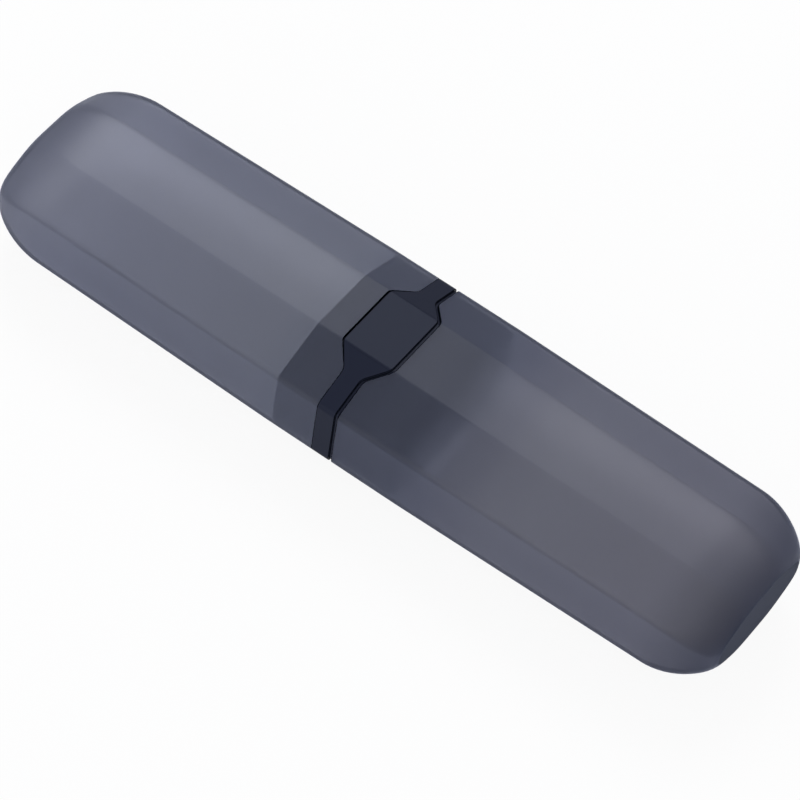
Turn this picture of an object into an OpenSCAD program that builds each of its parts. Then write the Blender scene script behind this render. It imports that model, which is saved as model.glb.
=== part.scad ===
// Pull-apart travel case for an electric toothbrush: two frosted shells of a flattened
// eight-sided section, joined over an inner sleeve, with a dark collar band between them.
// X runs along the case from the tip (-X) to the base (+X), Z is up out of the front flat,
// and the case lies on its back flat at Z = 0 with the middle of its length at X = 0.

/* [Section] */
// Width across the two side flats
case_w = 58; // [52:1:64]
// Thickness from the back flat to the front flat
case_t = 36; // [34:1:44]
// Width of the front and back flats
flat_w = 22; // [18:1:26]
// Height of the two side flats
side_h = 22; // [18:1:24]
// Radius of the long ridges between the flats
ridge_r = 2.5; // [2:0.1:3.5]

/* [Shells] */
// Whole length from the tip to the base
case_len = 248; // [200:1:300]
// Distance from the middle of the case to the groove at the collar, towards the base
seam_off = 0.8; // [0:0.1:8]
// Wall of both shells
wall_t = 1.4; // [1.2:0.1:1.8]
// Wall at the tip and at the base
end_wall_t = 1.8; // [1.2:0.1:3]
// How far each shell stays straight past the sleeve
seat_over = 2; // [1:0.5:6]
// Draft: how far each flat draws in from there to the rounded end
draft = 0.9; // [0:0.1:1.5]

/* [Ends] */
// Length of the rounded stretch that ends in the tip
tip_run = 19; // [14:1:30]
// How far each flat draws in over that stretch
tip_draw = 6.8; // [3:0.1:9]
// How far the middle of the tip stands proud
tip_dome = 1; // [0.4:0.1:3]
// Length of the rounded stretch that ends in the base
base_run = 19; // [14:1:30]
// How far each flat draws in towards the base
base_draw = 8.4; // [4:0.1:9]

/* [Collar] */
// Width of the collar band on the sides
band_w = 6.3; // [5:0.1:10]
// Length of the eight-cornered plate on the front and back flats
plate_len = 17.2; // [13:0.1:22]
// Width of the dark groove between the collar and the lower shell
seam_gap = 0.9; // [0.5:0.1:1.2]
// Depth of that groove, down to the stop lip
seam_depth = 0.7; // [0.5:0.1:1]
// Width of the fine groove between the plate and the upper shell
plate_gap = 0.5; // [0.2:0.1:0.8]
// Length cut back at each corner of the plate to round it
corner_cut = 1.2; // [0.5:0.1:2]

/* [Sleeve] */
// Reach of the sleeve into the upper shell, from the band
sleeve_up = 14.3; // [12:0.1:24]
// Reach of the sleeve into the lower shell, from its mouth
sleeve_down = 20; // [14:0.5:30]
// Wall of the sleeve
sleeve_t = 1.6; // [1.2:0.1:2]
// Length of the lead-in at the sleeve's free end
lead_run = 3; // [1:0.5:4]
// How far the sleeve draws in over its lead-in
lead_draw = 0.5; // [0.2:0.1:0.8]
// Gap between the sleeve and the lower shell, which slides on it
slide_gap = 0.3; // [0.2:0.05:0.4]
// Gap between the sleeve and the upper shell and collar, which are bonded to it
bond_gap = 0.05; // [0:0.01:0.1]
// Height of the grip ribs over the sleeve
rib_h = 0.22; // [0.1:0.01:0.3]
// Width of a grip rib
rib_w = 1.4; // [1:0.1:2]
// Length of a grip rib along the case
rib_len = 8; // [5:0.5:9]
// Distance from the ribs to the sleeve's lead-in
rib_end = 1; // [0.5:0.1:1.5]

/* [Hidden] */

// Shares and angles, which don't change with the size of the case
taper_share = 0.36;
tip_turn = 86;
base_turn = 80;
oval_share = 0.6;
dome_shares = [0.85, 0.65, 0.4, 0.15];
dome_end_share = 0.15;
rib_shares = [-0.3, 0.3];
corner_steps = 6;
end_steps = 14;
cut_steps = 4;

half_w = case_w / 2;
half_t = case_t / 2;
half_flat = flat_w / 2;
half_side = side_h / 2;
tip_x = -case_len / 2;
base_x = case_len / 2;
// The groove's middle lies at seam_off, and the band on its tip side
band_x = seam_off - band_w / 2;
upper_mouth_x = seam_off - band_w;
lower_mouth_x = seam_off + seam_gap / 2;
collar_edge_x = seam_off - seam_gap / 2;
// Where the plate's slanted sides meet the band, between the flat and the side
taper_y = half_flat + taper_share * (half_w - half_flat);
sleeve_start_x = upper_mouth_x - sleeve_up;
sleeve_end_x = lower_mouth_x + sleeve_down;
lead_x = sleeve_end_x - lead_run;
upper_seat_x = sleeve_start_x - seat_over;
lower_seat_x = sleeve_end_x + seat_over;
// Depths below the outer surface
sleeve_depth = wall_t + bond_gap;
slide_depth = wall_t + slide_gap;
// Reach of the cutters past the surface that they cut
over = wall_t;

// The eight facets round the section: the direction that each faces, and its distance from the axis
slant_angle = atan2(half_w - half_flat, half_t - half_side);
slant_dist = half_flat * cos(slant_angle) + half_t * sin(slant_angle);
facet_angles = [0, slant_angle, 90, 180 - slant_angle, 180, 180 + slant_angle, 270, 360 - slant_angle, 360];
facet_dists = [half_w, slant_dist, half_t, slant_dist, half_w, slant_dist, half_t, slant_dist, half_w];

// Point [y, z] at a depth below both facets i and i + 1
function corner_point(i, depth) =
    let (a0 = facet_angles[i], a1 = facet_angles[i + 1])
    let (d0 = facet_dists[i] - depth, d1 = facet_dists[i + 1] - depth)
    [d0 * sin(a1) - d1 * sin(a0), d1 * cos(a0) - d0 * cos(a1)] / sin(a1 - a0);

// Radius of a ridge's corner at a depth below the outer surface
function corner_r(depth) = max(ridge_r - depth, ridge_r / 5);

// Point [y, z] where an oval of half width w and half height h faces direction a
function oval_point(w, h, a) = [w * w * cos(a), h * h * sin(a)] / norm([w * cos(a), h * sin(a)]);

// Section as [y, z] points: eight facets at a depth below the outer surface, drawn in further by some
// length, and turned into an oval by some share from 0 to 1
function section(depth, drawn, oval) = [
    for (i = [0 : 7])
    for (s = [0 : corner_steps])
    let (a = facet_angles[i] + (facet_angles[i + 1] - facet_angles[i]) * s / corner_steps)
    let (r = corner_r(depth), inset = depth + drawn)
    let (faceted = corner_point(i, inset + r) + r * [cos(a), sin(a)])
    (1 - oval) * faceted + oval * oval_point(half_w - inset, half_t - inset, a)
];

// One ring of the skin: a section placed at x and scaled about the axis
function ring(x, points, scale) = [for (p = points) [x, scale * p[0], half_t + scale * p[1]]];

// Rings of a half of the case at a depth inside the skin: straight from x0 to the end of its seat, drafted
// from there to the rounded end, and closed at x1
function half_rings(x0, seat_x, x1, run, draw, turn, dome, depth) = concat(
    [for (x = [x0, seat_x]) ring(x, section(depth, 0, 0), 1)],
    [
        for (s = [0 : end_steps])
        let (u = s / end_steps, a = turn * u)
        let (x = x1 - dome - run * (1 - sin(a) / sin(turn)))
        let (drawn = draft + draw * (1 - cos(a)) / (1 - cos(turn)))
        ring(x, section(depth, drawn, oval_share * u * u * (3 - 2 * u)), 1)
    ],
    dome == 0 ? [] : [
        for (share = dome_shares)
        let (drop = (pow(share, 2) - pow(dome_end_share, 2)) / (1 - pow(dome_end_share, 2)))
        ring(x1 - dome * drop, section(depth, draft + draw, oval_share), share)
    ]
);

// Solid skinned over a list of rings that all have the same number of points
module skinned(rings) {
    n = len(rings[0]);
    last = (len(rings) - 1) * n;
    sides = [
        for (k = [0 : len(rings) - 2])
        for (j = [0 : n - 1])
        let (a = k * n + j, b = k * n + (j + 1) % n)
        each [[a, b + n, b], [a, a + n, b + n]]
    ];
    start_cap = [for (j = [0 : n - 1]) j];
    end_cap = [for (j = [n - 1 : -1 : 0]) last + j];
    polyhedron(points = [for (r = rings) each r], faces = concat([start_cap], sides, [end_cap]));
}

// Straight tube or bar of the case's section between two places along it
module prism(x0, x1, depth) {
    translate([x0, 0, half_t])
        rotate([90, 0, 90])
        linear_extrude(height = x1 - x0)
        polygon(section(depth, 0, 0));
}

// Corner b of an outline, cut back towards its neighbours a and c along a curve
function cut_corner(a, b, c) =
    let (p = b + corner_cut * (a - b) / norm(a - b), q = b + corner_cut * (c - b) / norm(c - b))
    [
        for (s = [0 : cut_steps])
        let (t = s / cut_steps)
        (1 - t) * (1 - t) * p + 2 * t * (1 - t) * b + t * t * q
    ];

// One edge of the collar seen from the front, bulging by the given reach over the flat
function collar_edge(side_x, plate_x) =
    let (far = half_w + over)
    let (path = [[side_x, -far], [side_x, -taper_y], [plate_x, -half_flat],
                 [plate_x, half_flat], [side_x, taper_y], [side_x, far]])
    concat([path[0]], [for (i = [1 : 4]) each cut_corner(path[i - 1], path[i], path[i + 1])], [path[5]]);

// Everything between two edges of the collar, right through the case
module collar_slab(left, right) {
    translate([0, 0, -over])
        linear_extrude(height = case_t + 2 * over)
        polygon(concat(left, [for (i = [len(right) - 1 : -1 : 0]) right[i]]));
}

upper_edge = collar_edge(upper_mouth_x, band_x - plate_len / 2 - plate_gap / 2);
collar_upper_edge = collar_edge(upper_mouth_x, band_x - plate_len / 2 + plate_gap / 2);
collar_lower_edge = collar_edge(collar_edge_x, band_x + plate_len / 2 - seam_gap / 2);
lower_edge = collar_edge(lower_mouth_x, band_x + plate_len / 2 + seam_gap / 2);

// Closed shell with an open mouth, drawn with its closed end towards +X
module shell(mouth_x, seat_x, end_x, run, draw, turn, dome) {
    difference() {
        skinned(half_rings(mouth_x, seat_x, end_x, run, draw, turn, dome, 0));
        skinned(half_rings(mouth_x - over, seat_x, end_x - end_wall_t, run, draw, turn, dome, wall_t));
    }
}

module upper_shell() {
    color([0.44, 0.46, 0.54, 0.75])
    difference() {
        mirror([1, 0, 0])
            shell(-upper_mouth_x, -upper_seat_x, -tip_x, tip_run, tip_draw, tip_turn, tip_dome);
        collar_slab(upper_edge, lower_edge);
    }
}

module lower_shell() {
    color([0.40, 0.42, 0.50, 0.75])
    difference() {
        shell(lower_mouth_x, lower_seat_x, base_x, base_run, base_draw, base_turn, 0);
        collar_slab(upper_edge, lower_edge);
    }
}

// Dark band with a plate on each flat, and a set-back lip that the lower shell stops against
module collar_band() {
    color([0.17, 0.19, 0.24])
    difference() {
        union() {
            intersection() {
                prism(tip_x / 2, base_x / 2, 0);
                collar_slab(collar_upper_edge, collar_lower_edge);
            }
            intersection() {
                prism(tip_x / 2, base_x / 2, seam_depth);
                collar_slab(collar_upper_edge, lower_edge);
            }
        }
        prism(tip_x / 2 - over, base_x / 2 + over, wall_t);
    }
}

// Low rounded ribs on the front flat of the sleeve, which grip the inside of the lower shell
module grip_ribs() {
    radius = (rib_h * rib_h + rib_w * rib_w / 4) / (2 * rib_h);
    for (share = rib_shares)
        translate([lead_x - rib_end - rib_len, share * flat_w, half_t - slide_depth + rib_h - radius])
        rotate([0, 90, 0])
        cylinder(h = rib_len, r = radius, $fn = 96);
}

// Outside of the sleeve: places along it, each with its depth below the skin of the case
sleeve_stops = [
    [sleeve_start_x, sleeve_depth],
    [collar_edge_x, sleeve_depth],
    [collar_edge_x, slide_depth],
    [lead_x, slide_depth],
    [sleeve_end_x, slide_depth + lead_draw]
];

// Tube that joins the shells: bonded in the upper one, and a sliding fit in the lower one
module inner_sleeve() {
    color([0.20, 0.22, 0.27])
    difference() {
        union() {
            skinned([for (stop = sleeve_stops) ring(stop[0], section(stop[1], 0, 0), 1)]);
            for (turned = [0, 180])
                translate([0, 0, half_t])
                rotate([turned, 0, 0])
                grip_ribs();
        }
        prism(sleeve_start_x - over, sleeve_end_x + over, slide_depth + sleeve_t);
    }
}

upper_shell();
lower_shell();
collar_band();
inner_sleeve();
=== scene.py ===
"""Looks of a pull-apart travel case for an electric toothbrush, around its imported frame."""
import math

import bmesh
import bpy
from mathutils import Matrix, Vector
from mathutils.geometry import convex_hull_2d


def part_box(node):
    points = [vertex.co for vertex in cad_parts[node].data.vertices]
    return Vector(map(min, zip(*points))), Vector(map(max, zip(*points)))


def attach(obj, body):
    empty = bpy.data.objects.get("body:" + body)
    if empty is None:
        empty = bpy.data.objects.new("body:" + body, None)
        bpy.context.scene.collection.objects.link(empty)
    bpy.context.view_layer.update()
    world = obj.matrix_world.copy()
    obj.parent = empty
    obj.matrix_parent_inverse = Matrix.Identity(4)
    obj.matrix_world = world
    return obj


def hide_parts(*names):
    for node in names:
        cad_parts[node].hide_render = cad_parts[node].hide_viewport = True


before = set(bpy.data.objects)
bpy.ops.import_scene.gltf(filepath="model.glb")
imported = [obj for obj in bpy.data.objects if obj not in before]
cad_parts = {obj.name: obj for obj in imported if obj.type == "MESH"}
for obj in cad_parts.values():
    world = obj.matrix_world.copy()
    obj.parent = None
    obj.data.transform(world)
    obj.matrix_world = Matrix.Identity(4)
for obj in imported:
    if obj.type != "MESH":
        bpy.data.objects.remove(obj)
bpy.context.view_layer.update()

# Lengths are in metres, apart from the places in the colour tables
MM = 0.001

# Places from the frame
collar_low, collar_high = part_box("collar_band")
base_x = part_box("lower_shell")[1].x

# Camera: where the middle of the collar lies in the view, in the photograph's pixels
PHOTO_SIZE_PX = 800
FOCAL_PX = 4200
COLLAR_RIGHT_PX = -14.02
COLLAR_DOWN_PX = -30.22
CAMERA_DISTANCE = 1.1732
TURN_IN_PICTURE = math.radians(33.14)
TILT_TO_CAMERA = math.radians(16.39)
ROLL_TO_CAMERA = math.radians(33.22)
SENSOR_MM = 36.0
CLIP_END = 20.0

# Lamps, both aimed at the middle of the case's footprint
KEY_PLACE = (-0.6, 0.80, 1.15)
KEY_SIZE = (0.7, 0.7)
KEY_WATTS = 10.0
KEY_COLOUR = (0.97, 0.98, 1)
FILL_PLACE = (0.2, -1.3, 0.35)
FILL_SIZE = (1.4, 0.5)
FILL_WATTS = 7.0
FILL_COLOUR = (1, 0.99, 0.97)
LAMP_TARGET = (0, 0, 0)

# Surroundings
WORLD_COLOUR = (0.96, 0.97, 1.0)
WORLD_STRENGTH = 0.62
FLOOR_SIZE = 6.0
FLOOR_TOP = 0.0
FLOOR_COLOUR = (0.86, 0.86, 0.87)
FLOOR_ROUGHNESS = 0.8
FLOOR_WHITE_SHARE = 0.92
PASSED_WHITE_SHARE = 0.45
WHITE_STRENGTH = 1.0

# Rounded edges: their widths, and the least turn of a sharp edge, which gets one
FINE_BEVEL = 0.15 * MM
# The lower shell's rounded edges are wider, and take the painted groove shade
GROOVE_BEVEL = 0.3 * MM
BEVEL_SEGMENTS = 2
SHARP_ANGLE = math.radians(28)
# Welding of a copied mesh, and the angle up to which neighbouring faces are one flat face
WELD_DISTANCE = 0.002 * MM
FLAT_ANGLE = math.radians(0.2)

# Where the painted groove shade and the base face's material go: how deep, how near and how squarely faced
GROOVE_DEPTH = 0.3 * MM
MOUTH_MARGIN = 1 * MM
MOUTH_FACING = 0.3
END_MARGIN = 0.3 * MM
END_FACING = 0.95

# Which of a piece's finishes its rounded edges take: the one beside them, or the second, which is the painted
# groove shade
FINISH_BESIDE = -1
PAINTED_SHADE_SLOT = 1

# Grain of the moulded faces
FROST_GRAIN = 0.25 * MM
FROST_GRAIN_STRENGTH = 0.15
SATIN_GRAIN = 0.2 * MM
SATIN_GRAIN_STRENGTH = 0.1
GRAIN_HEIGHT = 0.02 * MM
GRAIN_DETAIL = 2.0

# Slow unevenness of a tint: its scale, and the share of the tint that the darkest spot keeps
CLOUD_SIZE = 60 * MM
FROST_EVENNESS = 0.96
SATIN_EVENNESS = 0.9

# Frosted plastic
FROST_IOR = 1.2
FROST_SPECULAR = 0.15
SHELL_CLEARNESS = 0.97
SHELL_ROUGHNESS = 0.38
SHELL_SHEEN = (0.30, 0.36, 0.66)
SHEEN_WEIGHT = 0.25
SHEEN_ROUGHNESS = 0.8
UPPER_SMOKE = (0.60, 0.605, 0.625)
UPPER_SMOKE_DENSITY = 800
LOWER_SMOKE = (0.60, 0.60, 0.615)
LOWER_SMOKE_DENSITY = 900

# Flat face of the base, where the wall is thicker and duller, and its dark colour is painted shade
BASE_CLEARNESS = 0.8
BASE_ROUGHNESS = 0.8
BASE_SHEEN = (0.12, 0.15, 0.28)
BASE_SMOKE = (0.60, 0.60, 0.61)

# Satin plastic of the collar, and the painted shade of the grooves round it: near black on the faces in the
# grooves and on the rounded edges beside them
COLLAR_COLOUR = (0.017, 0.020, 0.035)
COLLAR_ROUGHNESS = 0.26
COLLAR_IOR = 1.13
COLLAR_GLOSS = (0.75, 0.82, 1)
PAINTED_GROOVE_SHADE = (0.001, 0.002, 0.005)
GROOVE_ROUGHNESS = 0.8
GROOVE_IOR = 1.1
PLAIN_GLOSS = (1, 1, 1)

# Satin plastic of the sleeve, which grows clear from the groove to its free end
SLEEVE_ROUGHNESS = 0.5
SLEEVE_IOR = 1.25
SLEEVE_CLEARNESS = 0.97
CLEAR_START = 4 * MM
CLEAR_END = 20 * MM

# Colour along the case: places, in millimetres from its middle, and the colour there; on the shells its
# changes are painted light and shade
# Upper shell: lighter towards the tip, which is painted light on the tip end; darker between -20 mm and the
# collar
UPPER_TINT_AND_PAINTED_LIGHT = [
    (-124, (0.97, 0.97, 1.0)),
    (-112, (0.93, 0.94, 1.0)),
    (-98, (0.84, 0.85, 0.91)),
    (-80, (0.79, 0.80, 0.85)),
    (-30, (0.745, 0.755, 0.79)),
    (-20, (0.69, 0.71, 0.75)),
    (-6, (0.69, 0.71, 0.75)),
]
# Lower shell: darker near the collar, painted shade inside the case round the sleeve; darker from 98 mm on,
# painted shade on the base end; a steep fall in the last millimetre, a painted dark line along the crease of
# the base face
LOWER_TINT_AND_PAINTED_SHADE = [
    (12, (0.57, 0.59, 0.64)),
    (21, (0.57, 0.59, 0.65)),
    (29, (0.61, 0.62, 0.68)),
    (40, (0.70, 0.70, 0.74)),
    (50, (0.77, 0.77, 0.80)),
    (98, (0.76, 0.75, 0.78)),
    (112, (0.67, 0.66, 0.68)),
    (123.2, (0.46, 0.45, 0.46)),
    (124, (0.15, 0.15, 0.17)),
]
# Base face: dark all over, painted shade on the base end
BASE_TINT_AND_PAINTED_SHADE = [(120, (0.22, 0.23, 0.27)), (124, (0.18, 0.19, 0.23))]
SLEEVE_TINTS = [
    (6, (0.020, 0.023, 0.033)),
    (12, (0.12, 0.13, 0.15)),
    (18, (0.50, 0.51, 0.54)),
    (24, (0.55, 0.56, 0.60)),
]


def even_colour(colour):
    """Stops of one colour from end to end of the collar."""
    return [(collar_low.x / MM, colour), (collar_high.x / MM, colour)]


def node_material(name):
    """A new node material, with its node tree and its principled shader."""
    material = bpy.data.materials.new(name)
    material.use_nodes = True
    tree = material.node_tree
    return material, tree, tree.nodes["Principled BSDF"]


def add_grain(tree, shader, size, strength):
    """A noise bump of the given grain size on the shader's normal. Gives back its coordinates node."""
    coords = tree.nodes.new("ShaderNodeTexCoord")
    noise = tree.nodes.new("ShaderNodeTexNoise")
    noise.inputs["Scale"].default_value = 1 / size
    noise.inputs["Detail"].default_value = GRAIN_DETAIL
    bump = tree.nodes.new("ShaderNodeBump")
    bump.inputs["Strength"].default_value = strength
    bump.inputs["Distance"].default_value = GRAIN_HEIGHT
    tree.links.new(coords.outputs["Object"], noise.inputs["Vector"])
    tree.links.new(noise.outputs["Fac"], bump.inputs["Height"])
    tree.links.new(bump.outputs["Normal"], shader.inputs["Normal"])
    return coords


def place_along(tree, coords, start, end):
    """A map range of the place along the case, from start to end."""
    split = tree.nodes.new("ShaderNodeSeparateXYZ")
    along = tree.nodes.new("ShaderNodeMapRange")
    along.inputs["From Min"].default_value = start
    along.inputs["From Max"].default_value = end
    tree.links.new(coords.outputs["Object"], split.inputs["Vector"])
    tree.links.new(split.outputs["X"], along.inputs["Value"])
    return along


def add_colour_and_painted_light_along(tree, shader, coords, colour_stops, evenness):
    """Base colour that changes along the case, from stop to stop, with a slow unevenness; on the shells the
    changes are painted light and shade.
    """
    places = [place * MM for place, _ in colour_stops]
    start = min(places)
    end = max(places)
    along = place_along(tree, coords, start, end)
    ramp = tree.nodes.new("ShaderNodeValToRGB")
    ramp.color_ramp.interpolation = "EASE"
    stops = ramp.color_ramp.elements
    while len(stops) < len(colour_stops):
        stops.new(0.5)
    for stop, place, (_, colour) in zip(stops, places, colour_stops):
        stop.position = (place - start) / (end - start)
        stop.color = (*colour, 1)
    noise = tree.nodes.new("ShaderNodeTexNoise")
    noise.inputs["Scale"].default_value = 1 / CLOUD_SIZE
    shade = tree.nodes.new("ShaderNodeMapRange")
    shade.inputs["To Min"].default_value = evenness
    product = tree.nodes.new("ShaderNodeMix")
    product.data_type = "RGBA"
    product.blend_type = "MULTIPLY"
    product.inputs["Factor"].default_value = 1.0
    tree.links.new(along.outputs["Result"], ramp.inputs["Fac"])
    tree.links.new(coords.outputs["Object"], noise.inputs["Vector"])
    tree.links.new(noise.outputs["Fac"], shade.inputs["Value"])
    tree.links.new(ramp.outputs["Color"], product.inputs["A"])
    tree.links.new(shade.outputs["Result"], product.inputs["B"])
    tree.links.new(product.outputs["Result"], shader.inputs["Base Color"])


def frosted_plastic(name, colour_stops, smoke, density, sheen, clearness=SHELL_CLEARNESS, roughness=SHELL_ROUGHNESS):
    """Smoky translucent plastic, frosted on both faces: the smoke absorbs light inside the wall, and its
    colour along the case carries painted light and shade.
    """
    material, tree, shader = node_material(name)
    shader.inputs["Transmission Weight"].default_value = clearness
    shader.inputs["Roughness"].default_value = roughness
    shader.inputs["IOR"].default_value = FROST_IOR
    shader.inputs["Specular IOR Level"].default_value = FROST_SPECULAR
    shader.inputs["Sheen Weight"].default_value = SHEEN_WEIGHT
    shader.inputs["Sheen Roughness"].default_value = SHEEN_ROUGHNESS
    shader.inputs["Sheen Tint"].default_value = (*sheen, 1)
    absorption = tree.nodes.new("ShaderNodeVolumeAbsorption")
    absorption.inputs["Color"].default_value = (*smoke, 1)
    absorption.inputs["Density"].default_value = density
    tree.links.new(absorption.outputs["Volume"], tree.nodes["Material Output"].inputs["Volume"])
    coords = add_grain(tree, shader, FROST_GRAIN, FROST_GRAIN_STRENGTH)
    add_colour_and_painted_light_along(tree, shader, coords, colour_stops, FROST_EVENNESS)
    return material


def satin_plastic(name, colour_stops, roughness, ior, gloss_tint=PLAIN_GLOSS):
    """Moulded plastic with a satin face."""
    material, tree, shader = node_material(name)
    shader.inputs["Roughness"].default_value = roughness
    shader.inputs["IOR"].default_value = ior
    shader.inputs["Specular Tint"].default_value = (*gloss_tint, 1)
    coords = add_grain(tree, shader, SATIN_GRAIN, SATIN_GRAIN_STRENGTH)
    add_colour_and_painted_light_along(tree, shader, coords, colour_stops, SATIN_EVENNESS)
    return material


def clear_towards(material, start, end, clearness):
    """Lets a plastic grow translucent along the case, smoothly from start to end."""
    tree = material.node_tree
    shader = tree.nodes["Principled BSDF"]
    along = place_along(tree, tree.nodes.new("ShaderNodeTexCoord"), start, end)
    along.interpolation_type = "SMOOTHSTEP"
    along.inputs["To Max"].default_value = clearness
    tree.links.new(along.outputs["Result"], shader.inputs["Transmission Weight"])


def math_node(tree, operation, first, second, clamp=False):
    """The output of a math node on two sockets or numbers."""
    node = tree.nodes.new("ShaderNodeMath")
    node.operation = operation
    node.use_clamp = clamp
    for socket, value in zip(node.inputs, (first, second)):
        if isinstance(value, bpy.types.NodeSocket):
            tree.links.new(value, socket)
        else:
            socket.default_value = value
    return node.outputs["Value"]


def white_share(tree):
    """How far the floor is plain white: most to the camera, less in gloss or through the shells."""
    rays = tree.nodes.new("ShaderNodeLightPath").outputs
    direct = math_node(tree, "MULTIPLY", rays["Is Camera Ray"], FLOOR_WHITE_SHARE)
    either = math_node(tree, "ADD", rays["Is Glossy Ray"], rays["Is Transmission Ray"], clamp=True)
    passed = math_node(tree, "MULTIPLY", either, PASSED_WHITE_SHARE)
    return math_node(tree, "ADD", direct, passed)


def floor_material():
    """Pale paper that reads as near white and keeps a light shadow of the case."""
    material, tree, shader = node_material("floor_paper")
    shader.inputs["Base Color"].default_value = (*FLOOR_COLOUR, 1)
    shader.inputs["Roughness"].default_value = FLOOR_ROUGHNESS
    white = tree.nodes.new("ShaderNodeEmission")
    white.inputs["Strength"].default_value = WHITE_STRENGTH
    mix = tree.nodes.new("ShaderNodeMixShader")
    tree.links.new(white_share(tree), mix.inputs["Fac"])
    tree.links.new(shader.outputs["BSDF"], mix.inputs[1])
    tree.links.new(white.outputs["Emission"], mix.inputs[2])
    tree.links.new(mix.outputs["Shader"], tree.nodes["Material Output"].inputs["Surface"])
    return material


def all_faces(mesh):
    """Every face, for a piece's main finish."""
    return mesh.polygons


def set_back_faces(mesh):
    """The faces of a straight ring that lie well inside the hull of its section, where the groove shade is
    painted.
    """
    section = [Vector((v.co.y, v.co.z)) for v in mesh.vertices]
    hull = [section[i] for i in convex_hull_2d(section)]
    sides = []
    for start, end in zip(hull, hull[1:] + hull[:1]):
        along = (end - start).normalized()
        sides.append((start, Vector((along.y, -along.x))))
    faces = []
    for face in mesh.polygons:
        spot = Vector((face.center.y, face.center.z))
        if min(abs((spot - start).dot(out)) for start, out in sides) > GROOVE_DEPTH:
            faces.append(face)
    return faces


def mouth_faces(mesh):
    """The cut faces of a shell at the collar, which look along the case, where the groove shade is painted.
    """
    faces = []
    for face in mesh.polygons:
        at_collar = collar_low.x - MOUTH_MARGIN < face.center.x < collar_high.x + MOUTH_MARGIN
        if at_collar and abs(face.normal.x) > MOUTH_FACING:
            faces.append(face)
    return faces


def end_faces(mesh):
    """The flat outer face at the base."""
    return [f for f in mesh.polygons if f.center.x > base_x - END_MARGIN and f.normal.x > END_FACING]


def mark_finish_borders(mesh):
    """Sharp edges where two finishes meet, so that neither shades into the other."""
    finishes = {}
    for face in mesh.polygons:
        for key in face.edge_keys:
            finishes.setdefault(key, set()).add(face.material_index)
    for edge in mesh.edges:
        edge.use_edge_sharp = len(finishes[edge.key]) > 1


def weld(mesh):
    """One connected mesh, with its flat faces whole and every face smooth."""
    bm = bmesh.new()
    bm.from_mesh(mesh)
    bmesh.ops.remove_doubles(bm, verts=bm.verts, dist=WELD_DISTANCE)
    bmesh.ops.dissolve_limit(bm, angle_limit=FLAT_ANGLE, verts=bm.verts, edges=bm.edges)
    for face in bm.faces:
        face.smooth = True
    bm.to_mesh(mesh)
    bm.free()


def round_edges(piece, width, finish):
    """Rounded sharp edges in one of the piece's finishes, and flat shading of the flat faces."""
    edges = piece.modifiers.new("fine_edges", "BEVEL")
    edges.limit_method = "ANGLE"
    edges.angle_limit = SHARP_ANGLE
    edges.width = width
    edges.segments = BEVEL_SEGMENTS
    edges.material = finish
    edges.use_clamp_overlap = False
    normals = piece.modifiers.new("flat_faces", "WEIGHTED_NORMAL")
    normals.keep_sharp = True


def dressed_copy(node, body, name, finishes, bevel=FINE_BEVEL, bevel_finish=FINISH_BESIDE):
    """A copy of a CAD node with its finishes and rounded edges, which stands for the node.

    Each of the finishes is a material and a function that picks its faces; a later one wins.
    """
    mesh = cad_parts[node].data.copy()
    mesh.name = name
    mesh.materials.clear()
    piece = bpy.data.objects.new(name, mesh)
    bpy.context.scene.collection.objects.link(piece)
    weld(mesh)
    for index, (material, choose_faces) in enumerate(finishes):
        mesh.materials.append(material)
        for face in choose_faces(mesh):
            face.material_index = index
    mark_finish_borders(mesh)
    round_edges(piece, bevel, bevel_finish)
    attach(piece, body)
    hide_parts(node)
    return piece


def camera_at_photo_angle(target):
    """The camera that sees the case as the photograph does, placed by the middle of its collar."""
    cos_r = math.cos(ROLL_TO_CAMERA)
    sin_r = math.sin(ROLL_TO_CAMERA)
    facing = Matrix(((1, 0, 0), (0, -cos_r, -sin_r), (0, sin_r, -cos_r)))
    tilt = Matrix.Rotation(TILT_TO_CAMERA, 3, "Y")
    turn = Matrix.Rotation(TURN_IN_PICTURE, 3, "Z")
    # Rows: right, down and forward of the camera, in the case's frame
    axes = turn @ tilt @ facing
    metres_per_px = CAMERA_DISTANCE / FOCAL_PX
    offset = Vector((COLLAR_RIGHT_PX * metres_per_px, COLLAR_DOWN_PX * metres_per_px, CAMERA_DISTANCE))
    data = bpy.data.cameras.new("camera")
    data.sensor_width = SENSOR_MM
    data.lens = FOCAL_PX * SENSOR_MM / PHOTO_SIZE_PX
    data.clip_end = CLIP_END
    camera = bpy.data.objects.new("camera", data)
    bpy.context.scene.collection.objects.link(camera)
    flip = Matrix(((1, 0, 0), (0, -1, 0), (0, 0, -1)))
    place = Matrix.Translation(target - axes.transposed() @ offset)
    camera.matrix_world = place @ (flip @ axes).transposed().to_4x4()
    bpy.context.scene.camera = camera
    return camera


def area_light(name, place, size, watts, colour):
    """A soft rectangular lamp aimed at the case."""
    data = bpy.data.lights.new(name, "AREA")
    data.shape = "RECTANGLE"
    data.size, data.size_y = size
    data.energy = watts
    data.color = colour
    lamp = bpy.data.objects.new(name, data)
    bpy.context.scene.collection.objects.link(lamp)
    lamp.location = place
    lamp.rotation_euler = (Vector(LAMP_TARGET) - Vector(place)).to_track_quat("-Z", "Y").to_euler()
    return lamp


def pale_world():
    """Even pale surroundings, which light the case from all sides."""
    world = bpy.data.worlds.new("studio")
    world.use_nodes = True
    background = world.node_tree.nodes["Background"]
    background.inputs["Color"].default_value = (*WORLD_COLOUR, 1)
    background.inputs["Strength"].default_value = WORLD_STRENGTH
    bpy.context.scene.world = world


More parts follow.
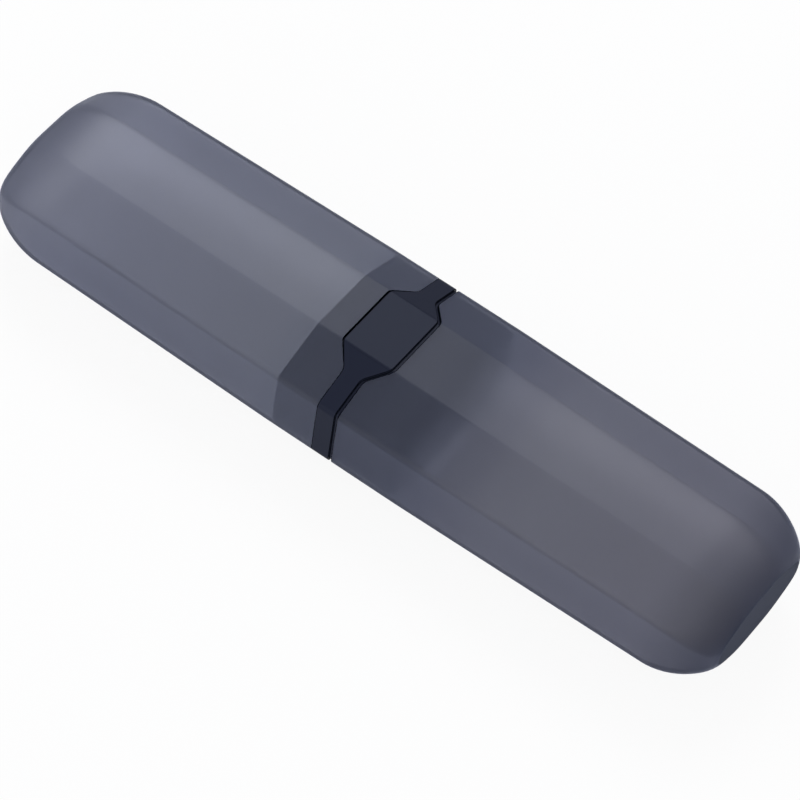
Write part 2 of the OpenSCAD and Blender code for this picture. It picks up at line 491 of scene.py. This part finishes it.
def studio_floor():
    """The pale floor that the case lies on."""
    half = FLOOR_SIZE / 2
    corners = [(x, y, FLOOR_TOP) for x, y in ((-half, -half), (half, -half), (half, half), (-half, half))]
    mesh = bpy.data.meshes.new("floor")
    mesh.from_pydata(corners, [], [range(len(corners))])
    floor = bpy.data.objects.new("floor", mesh)
    bpy.context.scene.collection.objects.link(floor)
    mesh.materials.append(floor_material())
    return floor


# Shell materials: their colour along the case holds painted light towards the tip, and painted shade near the
# collar on the lower shell and at the base
light_frost = frosted_plastic("frosted_light", UPPER_TINT_AND_PAINTED_LIGHT, UPPER_SMOKE, UPPER_SMOKE_DENSITY, SHELL_SHEEN)
dark_frost = frosted_plastic("frosted_dark", LOWER_TINT_AND_PAINTED_SHADE, LOWER_SMOKE, LOWER_SMOKE_DENSITY, SHELL_SHEEN)
base_frost = frosted_plastic(
    "frosted_base", BASE_TINT_AND_PAINTED_SHADE, BASE_SMOKE, LOWER_SMOKE_DENSITY, BASE_SHEEN, BASE_CLEARNESS, BASE_ROUGHNESS
)
collar_satin = satin_plastic(
    "collar_satin", even_colour(COLLAR_COLOUR), COLLAR_ROUGHNESS, COLLAR_IOR, COLLAR_GLOSS
)
# Painted shade: near black satin on the faces in the grooves round the collar, on the shells' cut faces
# there, and on the rounded edges of the lower shell and the collar
groove_painted_shade = satin_plastic("groove_painted_shade", even_colour(PAINTED_GROOVE_SHADE), GROOVE_ROUGHNESS, GROOVE_IOR)
sleeve_satin = satin_plastic("sleeve_satin", SLEEVE_TINTS, SLEEVE_ROUGHNESS, SLEEVE_IOR)
clear_towards(sleeve_satin, CLEAR_START, CLEAR_END, SLEEVE_CLEARNESS)

# Upper shell: painted light in its colour towards the tip, and painted groove shade on its cut faces at the
# collar
dressed_copy(
    "upper_shell", "upper_half", "upper_shell_frosted",
    [(light_frost, all_faces), (groove_painted_shade, mouth_faces)],
)
# Lower shell: painted shade in its colour along the case, and painted groove shade on its cut faces at the
# collar and on its rounded edges
dressed_copy(
    "lower_shell", "lower_half", "lower_shell_frosted",
    [(dark_frost, all_faces), (groove_painted_shade, mouth_faces), (base_frost, end_faces)],
    bevel=GROOVE_BEVEL, bevel_finish=PAINTED_SHADE_SLOT,
)
# Collar: painted groove shade on its set-back faces and on its rounded edges
dressed_copy(
    "collar_band", "upper_half", "collar_band_satin",
    [(collar_satin, all_faces), (groove_painted_shade, set_back_faces)],
    bevel_finish=PAINTED_SHADE_SLOT,
)
dressed_copy(
    "inner_sleeve", "upper_half", "inner_sleeve_satin",
    [(sleeve_satin, all_faces)],
)

camera_at_photo_angle((collar_low + collar_high) / 2)
pale_world()
studio_floor()
area_light("key", KEY_PLACE, KEY_SIZE, KEY_WATTS, KEY_COLOUR)
area_light("fill", FILL_PLACE, FILL_SIZE, FILL_WATTS, FILL_COLOUR)

bpy.context.scene.view_settings.view_transform = "Standard"
